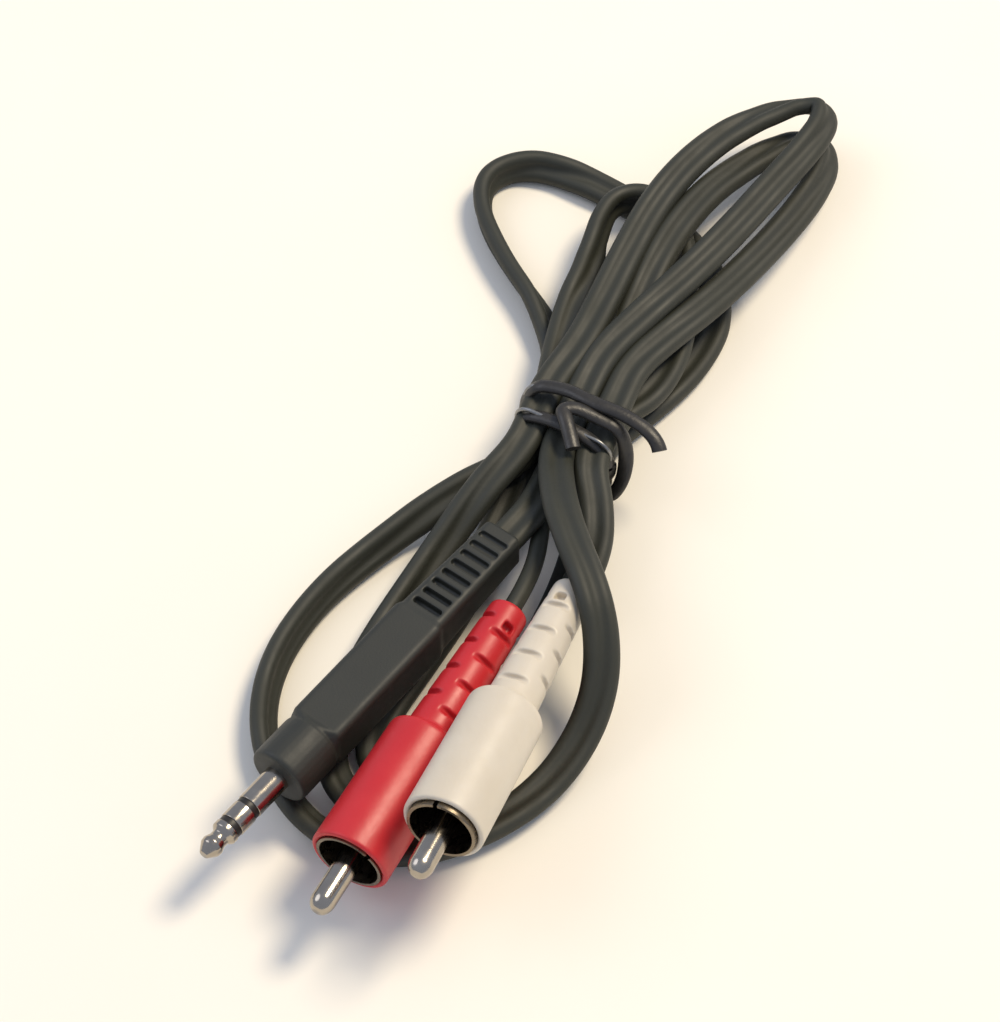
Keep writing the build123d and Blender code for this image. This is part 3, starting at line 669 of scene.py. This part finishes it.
class CABLE_OT_leads(bpy.types.Operator):
    """The two single leads between the split and the phono plugs"""
    bl_idname = "cable.leads"
    bl_label = "Single Leads"

    def execute(self, context):
        material = bpy.data.materials["extruded black PVC"]
        plans = {"red": (RED_LEAD, (CENTRE, BOTTOM), -1), "white": (WHITE_LEAD, (RIGHT, BOTTOM), 1)}
        for colour, (points, seat_at, side) in plans.items():
            path = followed(lead_route(f"{colour}_phono_pin", points, seat_at, side))
            outline = oval_outline(sizes().core, sizes().core, 24)
            name = f"{colour}_single_lead"
            lead = link(name, swept_mesh(name, path, [0.0, 0.0], outline))
            finish_piece(lead, Matrix.Identity(4), sharp_above=SWEPT_EDGE)
            dress(lead, material)
            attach(lead, BODY)
            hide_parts(f"{colour}_lead")
        return {"FINISHED"}


def rounded_section(reach, width, height, corner, steps=8):
    """Points of a rounded rectangle across a plug, at one reach."""
    points = []
    for quarter in range(4):
        spin = math.pi / 2 * quarter
        flat_y = (width / 2 - corner) * (1 if quarter in (0, 3) else -1)
        flat_z = (height / 2 - corner) * (1 if quarter in (0, 1) else -1)
        for step in range(steps + 1):
            turn = spin + math.pi / 2 * step / steps
            points.append((reach, flat_y + corner * math.cos(turn),
                           flat_z + corner * math.sin(turn)))
    return points


# cutters are (along, across, deep) or (along, deep, across), and start from the plug's face
JACK_SLOT = (0.95, 4.3, 4.0)
JACK_SLOT_PITCH = 1.95
JACK_SLOT_OFF = 4.05        # cutter's middle, off the plug's axis
JACK_SLOT_BACK = 1.7        # first slot, behind the body
BOOT_SLOT_ALONG, BOOT_SLOT_ACROSS, BOOT_SLOT_DEEP = 0.8, 7.6, 6.0
BOOT_SLOT_PITCH = 4.6
BOOT_SLOT_OFF = 5.6
BOOT_SLOT_LEAN = 0.17       # each slot is this much nearer the axis, as the relief tapers
BOOT_FIRST_TOP, BOOT_FIRST_SIDE = -22.9, -25.2
REAR_HOLE = (1.3, 1.5, 6.0)
REAR_HOLE_AT, REAR_HOLE_OFF = -38.3, 4.6


class CABLE_OT_jack_grip(bpy.types.Operator):
    """Black moulded grip of the mini-jack, with its collar, squared body and slotted relief"""
    bl_idname = "cable.jack_grip"
    bl_label = "Jack Grip"

    def execute(self, context):
        collar, collar_end = 8.4, -7.0
        body, body_end = (7.4, 6.9, 1.0), -28.5
        relief, relief_end = (5.6, 5.4, 0.9), -46.3
        rings = [
            rounded_section(0.0, collar - 1.0, collar - 1.0, collar / 2 - 0.5),
            rounded_section(-0.15, collar - 0.3, collar - 0.3, collar / 2 - 0.15),
            rounded_section(-0.6, collar, collar, collar / 2),
            rounded_section(collar_end + 0.5, collar, collar, collar / 2),
            rounded_section(collar_end, collar - 0.5, collar - 0.5, collar / 2 - 0.25),
            rounded_section(collar_end - 0.9, *body),
            rounded_section(body_end + 0.4, *body),
            rounded_section(body_end - 0.6, body[0] - 0.7, body[1] - 0.5, 1.0),
            rounded_section(relief_end + 0.4, *relief),
            rounded_section(relief_end, relief[0] - 0.7, relief[1] - 0.7, 0.7)]
        grip = link("jack_moulding", ring_lofted_mesh("jack_moulding", rings))
        material = moulded_grip_pvc()
        count = sizes().jack_slots
        pitch = (-JACK_SLOT_PITCH, 0, 0)
        rows = [(count, (body_end - JACK_SLOT_BACK, 0, side * JACK_SLOT_OFF), pitch, JACK_SLOT)
                for side in (1, -1)]
        moulded(grip, slot_cutters("jack_slots", material, rows), sizes().grain)
        finish_piece(grip, plug_frame("jack_plug", JACK_MOUNT_AT))
        dress(grip, material)
        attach(grip, BODY)
        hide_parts("jack_grip")
        return {"FINISHED"}


class CABLE_OT_jack_contacts(bpy.types.Operator):
    """Turned tip, ring and sleeve of the mini-jack, and the rings that insulate them"""
    bl_idname = "cable.jack_contacts"
    bl_label = "Jack Contacts"

    def execute(self, context):
        nickel = nickel_plate()
        spacer = insulator_abs()
        place = plug_frame("jack_plug", JACK_MOUNT_AT)
        plans = {
            "jack_tip": (nickel, "nickel_plate", 0.12, [
                (14.0, 0), (14.0, 0.6), (12.8, 1.42), (12.2, 1.5), (11.4, 1.2), (10.8, 1.2),
                (10.2, 1.75), (9.4, 1.75), (9.4, 0.6), (-8.3, 0.6), (-8.3, 0)]),
            "jack_tip_insulator": (spacer, "black_insulator", 0.04, [
                (9.4, 0.6), (9.4, 1.62), (8.6, 1.62), (8.6, 0.85), (-8.0, 0.85), (-8.0, 0.6)]),
            "jack_ring": (nickel, "nickel_plate", 0.1, [
                (8.6, 0.85), (8.6, 1.75), (6.1, 1.75), (6.1, 1.1), (-6.5, 1.1), (-6.5, 0.85)]),
            "jack_ring_insulator": (spacer, "black_insulator", 0.04, [
                (6.1, 1.1), (6.1, 1.62), (5.3, 1.62), (5.3, 1.35), (-6.2, 1.35), (-6.2, 1.1)]),
            "jack_sleeve": (nickel, "nickel_plate", 0.1, [
                (5.3, 1.35), (5.3, 1.75), (-0.6, 1.75), (-0.6, 2.8), (-1.8, 2.8), (-1.8, 1.75),
                (-3.3, 1.75), (-3.3, 1.35)]),
        }
        for node, (material, slot, edge, corners) in plans.items():
            name = f"turned_{node}"
            piece = link(name, turned_mesh(name, softened(corners, edge)))
            finish_piece(piece, place, sharp_above=TURNED_EDGE)
            dress(piece, material)
            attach(piece, BODY)
            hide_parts(node)
        return {"FINISHED"}


class CABLE_OT_phono_mouldings(bpy.types.Operator):
    """Red and white boots of the phono plugs, with their staggered relief slots"""
    bl_idname = "cable.phono_mouldings"
    bl_label = "Phono Mouldings"

    def execute(self, context):
        plans = {"red": (moulded_red_pvc(), -40), "white": (moulded_white_pvc(), 12)}
        outline = softened([
            (0, 4.5), (0, 5.3), (-19.6, 5.1), (-20.2, 3.45), (-41.9, 2.65), (-41.9, 1.2),
            (-17.0, 1.2), (-17.0, 4.0), (-9.9, 4.0), (-9.9, 4.5)], 0.7)
        for colour, (material, roll) in plans.items():
            name = f"{colour}_moulding"
            boot = link(name, turned_mesh(name, outline, 96))
            count = sizes().boot_slots
            rows = []
            for side in (1, -1):
                off = side * BOOT_SLOT_OFF
                lean = side * -BOOT_SLOT_LEAN
                rows += [
                    (count, (BOOT_FIRST_TOP, 0, off), (-BOOT_SLOT_PITCH, 0, lean),
                     (BOOT_SLOT_ALONG, BOOT_SLOT_ACROSS, BOOT_SLOT_DEEP)),
                    (count, (BOOT_FIRST_SIDE, off, 0), (-BOOT_SLOT_PITCH, lean, 0),
                     (BOOT_SLOT_ALONG, BOOT_SLOT_DEEP, BOOT_SLOT_ACROSS)),
                    (1, (REAR_HOLE_AT, 0, side * REAR_HOLE_OFF), (0, 0, 0), REAR_HOLE)]
            moulded(boot, slot_cutters(f"{colour}_slots", material, rows), sizes().grain)
            finish_piece(boot, plug_frame(f"{colour}_phono_pin", PIN_MOUNT_AT, roll))
            dress(boot, material)
            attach(boot, BODY)
            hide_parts(f"{colour}_boot")
        return {"FINISHED"}


class CABLE_OT_phono_contacts(bpy.types.Operator):
    """Turned centre pins of the phono plugs; their shells keep the CAD shape"""
    bl_idname = "cable.phono_contacts"
    bl_label = "Phono Contacts"

    def execute(self, context):
        nickel = bpy.data.materials["turned nickel plate"]
        # the shells' nickel carries painted shade from inside their mouths
        shell = shell_plate_painted_shade()
        spacer = bpy.data.materials["moulded ABS spacer"]
        corners = [(7.9, 0), (7.9, 0.75), (7.35, 1.3), (6.5, 1.6), (-7.5, 1.6), (-7.5, 1.4),
                   (-14.5, 1.4), (-14.5, 0.35), (-12.5, 0.35), (-12.5, 0)]
        for colour in ("red", "white"):
            name = f"{colour}_turned_pin"
            pin = link(name, turned_mesh(name, softened(corners, 0.5), 64))
            finish_piece(pin, plug_frame(f"{colour}_phono_pin", PIN_MOUNT_AT),
                         sharp_above=TURNED_EDGE)
            dress(pin, nickel)
            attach(pin, BODY)
            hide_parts(f"{colour}_pin")
            dress(frame["nodes"][f"{colour}_shell"], shell)
            dress(frame["nodes"][f"{colour}_insulator"], spacer)
        return {"FINISHED"}


STRAND_RADIUS = 1.5
TIE_GAP = 0.05              # between the tie and what it holds or lies on
TIE_HALF = 0.75
HALF_WIDTH = COLUMN + STRAND_RADIUS + TIE_GAP + TIE_HALF
OVER = TOP + STRAND_RADIUS + TIE_GAP + TIE_HALF
UNDER = TIE_HALF + TIE_GAP
TIE_POINTS = [
    (-1.9, -13.4, OVER - 0.5), (-0.6, -12.6, OVER + 0.5), (0.9, -7.9, OVER + 1.5),
    (1.4, -2.5, OVER + 1.6), (3.0, 1.6, OVER + 0.9), (2.6, HALF_WIDTH, OVER),
    (0.8, HALF_WIDTH, UNDER), (-3.0, -HALF_WIDTH, UNDER), (-3.8, -HALF_WIDTH, OVER),
    (-1.2, HALF_WIDTH, OVER), (-1.6, HALF_WIDTH, UNDER), (-5.0, -HALF_WIDTH, UNDER),
    (-3.6, -HALF_WIDTH - 1.8, UNDER + 3.0), (-1.6, -HALF_WIDTH - 1.8, OVER - 3.6),
    (-0.6, -HALF_WIDTH - 0.4, OVER + 0.2), (-0.3, -4.4, OVER + 0.7), (-0.1, -1.0, OVER + 1.5),
    (-1.1, 0.8, OVER + 1.7), (-3.0, -0.6, OVER + 1.8), (-6.4, -2.7, OVER + 0.8)]


class CABLE_OT_twist_tie(bpy.types.Operator):
    """Coated wire tie, wrapped twice round the hank with its ends left free"""
    bl_idname = "cable.twist_tie"
    bl_label = "Twist Tie"

    def execute(self, context):
        points = [placed(*TIE_AT, height) + ALONG * step + SIDEWAYS * side
                  for step, side, height in TIE_POINTS]
        path = followed(points)
        outline = oval_outline(sizes().tie_width, sizes().tie_thickness)
        tie = link("coated_tie", swept_mesh("coated_tie", path, [0.0, 0.0], outline))
        finish_piece(tie, Matrix.Identity(4), sharp_above=SWEPT_EDGE)
        dress(tie, tie_pvc())
        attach(tie, BODY)
        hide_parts("tie_coating")
        return {"FINISHED"}


class CABLE_OT_hidden_parts(bpy.types.Operator):
    """Finishes for the tags, wires and mouldings inside the plugs, which keep their CAD shapes"""
    bl_idname = "cable.hidden_parts"
    bl_label = "Inside Parts"

    def execute(self, context):
        finishes = {
            "_tag": plain_metal("tinned brass", "CDC8B8", "B8B2A2", 0.35),
            "conductor": plain_metal("copper strand", "C07A50", "9E5E3A", 0.38),
            "screen_tail": bpy.data.materials["copper strand"],
            "tie_wire": plain_metal("drawn steel wire", "9A9A98", "80807E", 0.4),
            "inner_mould": plain_plastic("natural inner moulding", "D6D0BE", "C8C0AC", 0.5),
            "left_insulation": plain_plastic("white core insulation", "E4E2DC", "D6D3CC", 0.45),
            "white_core_insulation": bpy.data.materials["white core insulation"],
            "right_insulation": plain_plastic("red core insulation", "B02A2A", "982222", 0.45),
            "red_core_insulation": bpy.data.materials["red core insulation"],
            "cord_end": bpy.data.materials["extruded black PVC"],
            "lead_end": bpy.data.materials["extruded black PVC"],
        }
        for name, node in frame["nodes"].items():
            for part, material in finishes.items():
                if part in name:
                    dress(node, material)
        return {"FINISHED"}


# --- stage --------------------------------------------------------------------------------------
# each lamp: direction, distance and width in metres, power in watts, colour
KEY_LAMP = ((0.43, -0.29, 0.85), 1.6, 0.6, 21.0, "FFEFD2")
FILL_LAMP = ((-0.2, 0.9, 0.9), 1.8, 1.2, 6.0, "F2F4FF")
ROOM_COLOUR, ROOM_STRENGTH = "CBD6EE", 0.66
FLOOR_WIDTH = 6.0
CAMERA_AT = (-223.2, -118.7, 335.4)
CAMERA_LENS = 108.74


def aim(thing, target):
    thing.rotation_euler = (target - thing.location).to_track_quat("-Z", "Y").to_euler()


def area_light(name, toward, distance, size, power, colour):
    light = bpy.data.lights.new(name, "AREA")
    light.shape = "DISK"
    light.size = size
    light.energy = power
    light.color = linear(colour)[:3]
    lamp = bpy.data.objects.new(name, light)
    lamp.location = Vector(toward).normalized() * distance
    bpy.context.scene.collection.objects.link(lamp)
    aim(lamp, Vector((0, 0, 0)))


class CABLE_OT_stage(bpy.types.Operator):
    """Pale floor, soft studio light and the camera"""
    bl_idname = "cable.stage"
    bl_label = "Stage"

    def execute(self, context):
        scene = context.scene
        bpy.ops.mesh.primitive_plane_add(size=FLOOR_WIDTH, location=(0, 0, 0))
        floor = context.object
        floor.name = "floor"
        material, tree, shader, place = new_material("matt paper")
        tree.links.new(mottled(tree, place, colours().floor, "F8F2E4", 40.0),
                       shader.inputs["Base Color"])
        shader.inputs["Roughness"].default_value = 0.85
        shader.inputs["Specular IOR Level"].default_value = 0.2
        dress(floor, material)

        world = bpy.data.worlds.new("soft room")
        world.use_nodes = True
        sky = world.node_tree.nodes["Background"]
        sky.inputs["Color"].default_value = linear(ROOM_COLOUR)
        sky.inputs["Strength"].default_value = ROOM_STRENGTH
        scene.world = world
        area_light("key", *KEY_LAMP)
        area_light("fill", *FILL_LAMP)

        camera = bpy.data.objects.new("camera", bpy.data.cameras.new("camera"))
        scene.collection.objects.link(camera)
        camera.data.lens = CAMERA_LENS
        camera.data.sensor_width = 36.0
        camera.data.clip_start = 0.01
        camera.location = placed(*CAMERA_AT) * MM
        aim(camera, placed(0, 0, 0) * MM)
        scene.camera = camera
        scene.view_settings.view_transform = "Standard"
        scene.view_settings.look = "None"
        scene.view_settings.exposure = 0.0
        return {"FINISHED"}


class CABLE_PT_panel(bpy.types.Panel):
    """Sizes, colours and one button for each group of pieces"""
    bl_idname = "CABLE_PT_panel"
    bl_label = "Stereo Audio Cable"
    bl_space_type = "VIEW_3D"
    bl_region_type = "UI"
    bl_category = "Cable"

    def draw(self, context):
        for group in (context.scene.cable_sizes, context.scene.cable_colours):
            for name in group.bl_rna.properties.keys():
                if name not in ("rna_type", "name"):
                    self.layout.prop(group, name)
        for operator in OPERATORS:
            self.layout.operator(operator.bl_idname)


OPERATORS = (CABLE_OT_jack_contacts, CABLE_OT_jack_grip, CABLE_OT_phono_mouldings,
             CABLE_OT_phono_contacts, CABLE_OT_twin_cord, CABLE_OT_leads, CABLE_OT_twist_tie,
             CABLE_OT_hidden_parts, CABLE_OT_stage)
CLASSES = (CableSizes, CableColours, *OPERATORS, CABLE_PT_panel)


def register():
    for cls in CLASSES:
        bpy.utils.register_class(cls)
    bpy.types.Scene.cable_sizes = bpy.props.PointerProperty(type=CableSizes)
    bpy.types.Scene.cable_colours = bpy.props.PointerProperty(type=CableColours)


def unregister():
    del bpy.types.Scene.cable_colours
    del bpy.types.Scene.cable_sizes
    for cls in reversed(CLASSES):
        bpy.utils.unregister_class(cls)


def main():
    register()
    bpy.ops.cable.jack_contacts()
    bpy.ops.cable.jack_grip()
    bpy.ops.cable.phono_mouldings()
    bpy.ops.cable.phono_contacts()
    bpy.ops.cable.twin_cord()
    bpy.ops.cable.leads()
    bpy.ops.cable.twist_tie()
    bpy.ops.cable.hidden_parts()
    bpy.ops.cable.stage()


if __name__ == "__main__":
    main()
